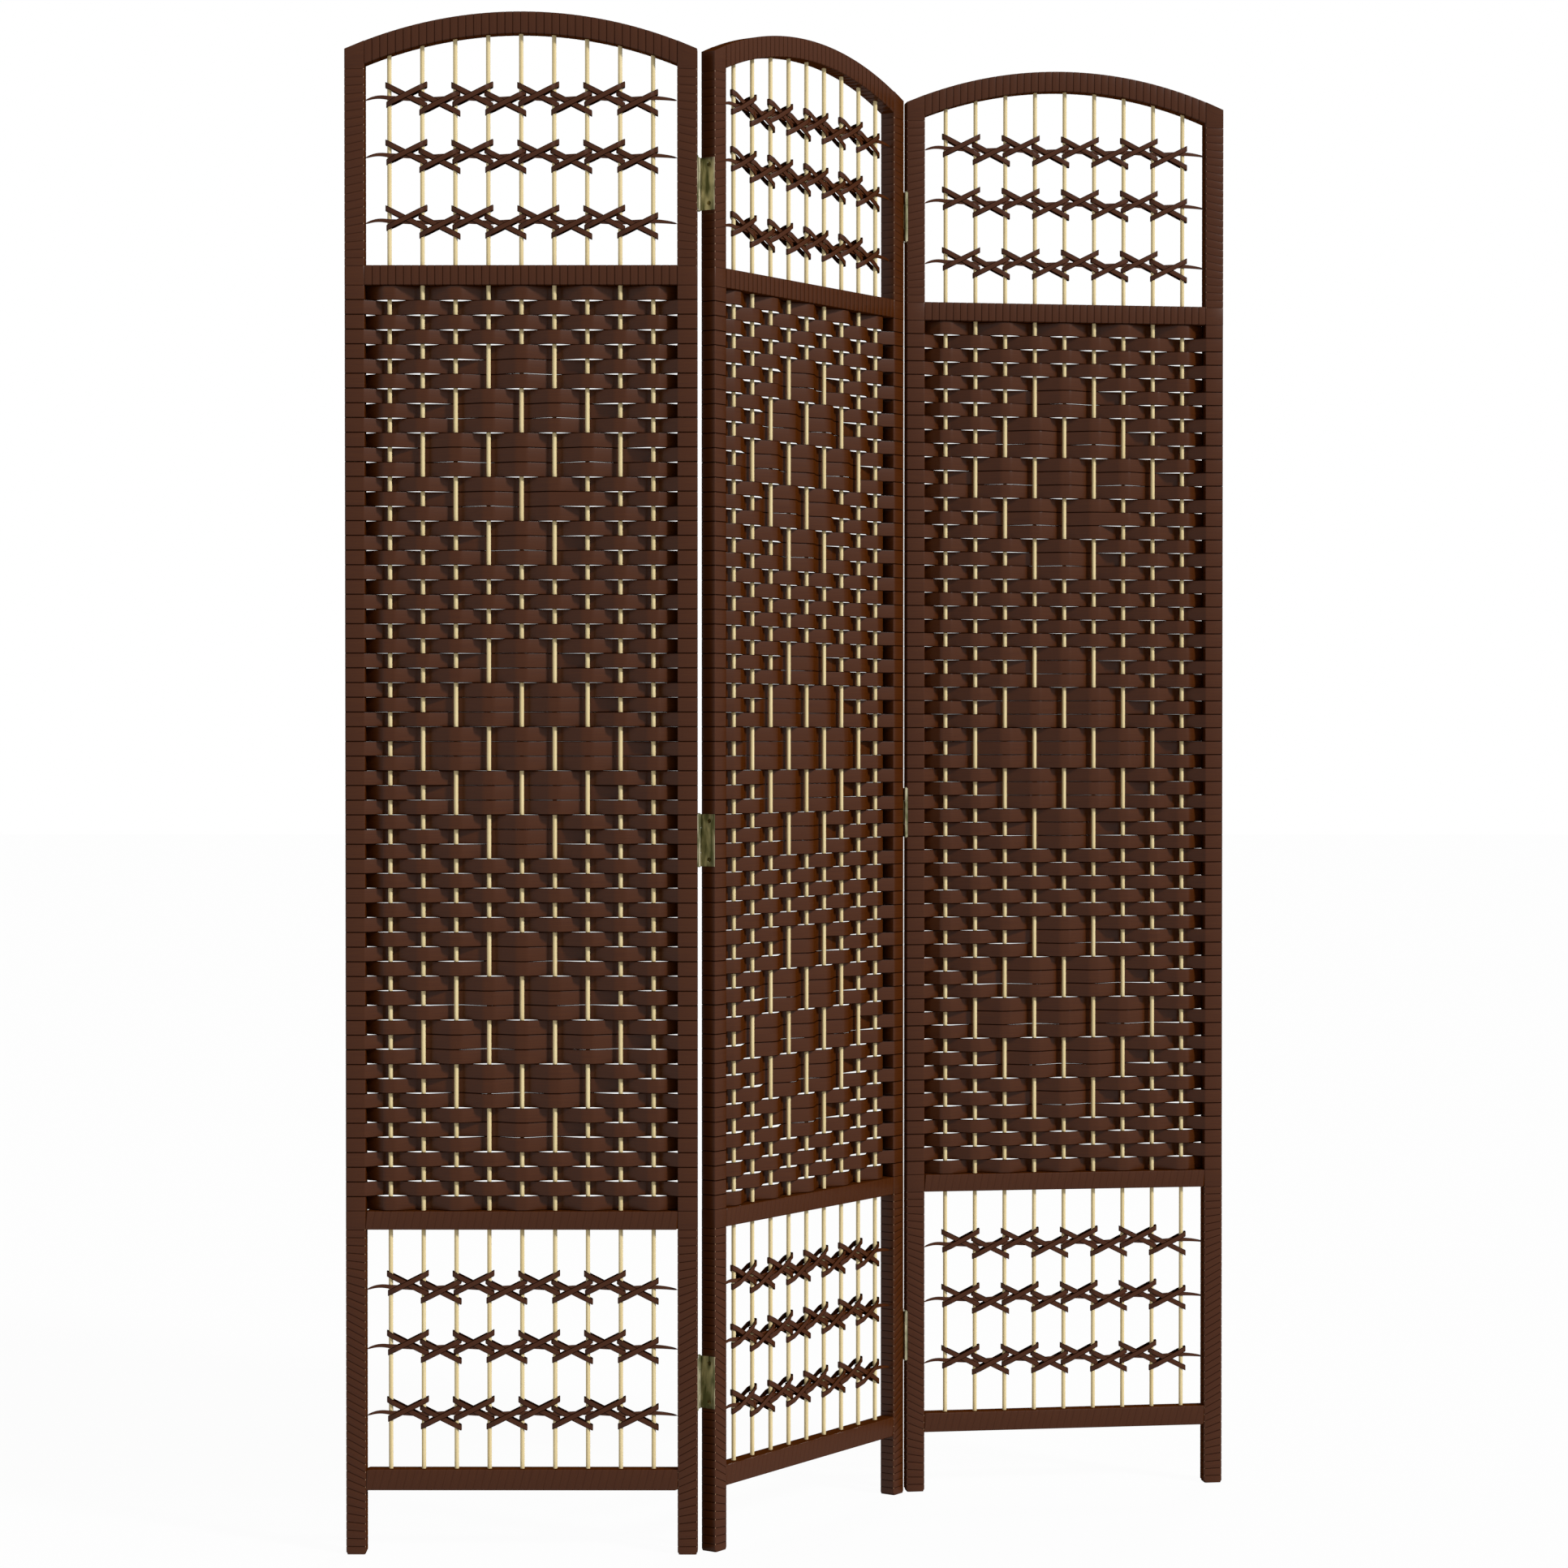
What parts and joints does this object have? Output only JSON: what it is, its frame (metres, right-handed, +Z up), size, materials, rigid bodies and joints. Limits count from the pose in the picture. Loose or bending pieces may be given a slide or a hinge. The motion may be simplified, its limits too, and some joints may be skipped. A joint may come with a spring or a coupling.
{
  "type": "folding screen",
  "caption": "Free-standing folding screen: hinged arched panels of ribbon woven between upright rods, with open knotted lattices above and below the weave.",
  "frame": {"origin": "centre of the screen's bounding box on the floor, in the pictured zigzag stance", "axes": "+Z up along the posts, +X to the right along the left panel, +Y away from the viewer"},
  "size_m": [1.0123, 0.4091, 1.7],
  "materials": {
    "post_wood": "plain sawn",
    "rod_wood": "natural, satin",
    "ribbon": "flat fibre ribbon, satin",
    "hinge_brass": "aged, satin",
    "hinge_screws": "aged, satin"
  },
  "bodies": {
    "left_panel": {"left_panel_left_post": "post_wood", "left_panel_right_post": "post_wood", "left_panel_arch_rail": "post_wood", "left_panel_upper_rail": "post_wood", "left_panel_lower_rail": "post_wood", "left_panel_bottom_rail": "post_wood", "left_panel_rods": "rod_wood", "left_panel_woven_ribbons": "ribbon", "left_panel_upper_lattice": "ribbon", "left_panel_lower_lattice": "ribbon", "left_panel_post_wraps": "ribbon", "left_panel_rail_wraps": "ribbon", "left_hinge_inner_leaves": "hinge_brass", "left_hinge_inner_screws": "hinge_screws"},
    "middle_panel": {"middle_panel_left_post": "post_wood", "middle_panel_right_post": "post_wood", "middle_panel_arch_rail": "post_wood", "middle_panel_upper_rail": "post_wood", "middle_panel_lower_rail": "post_wood", "middle_panel_bottom_rail": "post_wood", "middle_panel_rods": "rod_wood", "middle_panel_woven_ribbons": "ribbon", "middle_panel_upper_lattice": "ribbon", "middle_panel_lower_lattice": "ribbon", "middle_panel_post_wraps": "ribbon", "middle_panel_rail_wraps": "ribbon", "left_hinge_outer_leaves": "hinge_brass", "left_hinge_pins": "hinge_brass", "left_hinge_outer_screws": "hinge_screws", "right_hinge_outer_leaves": "hinge_brass", "right_hinge_pins": "hinge_brass", "right_hinge_outer_screws": "hinge_screws"},
    "right_panel": {"right_panel_left_post": "post_wood", "right_panel_right_post": "post_wood", "right_panel_arch_rail": "post_wood", "right_panel_upper_rail": "post_wood", "right_panel_lower_rail": "post_wood", "right_panel_bottom_rail": "post_wood", "right_panel_rods": "rod_wood", "right_panel_woven_ribbons": "ribbon", "right_panel_upper_lattice": "ribbon", "right_panel_lower_lattice": "ribbon", "right_panel_post_wraps": "ribbon", "right_panel_rail_wraps": "ribbon", "right_hinge_inner_leaves": "hinge_brass", "right_hinge_inner_screws": "hinge_screws"}
  },
  "joints": [
    {"name": "left_fold", "type": "hinge", "parent": "middle_panel", "child": "left_panel", "pos_m": [-0.117, -0.18372, 0.85], "axis": [0, 0, 1], "range_deg": [-124.2, 55.8]},
    {"name": "right_fold", "type": "hinge", "parent": "middle_panel", "child": "right_panel", "pos_m": [0.12157, 0.12641, 0.85], "axis": [0, 0, 1], "range_deg": [-132.7, 47.3]}
  ]
}
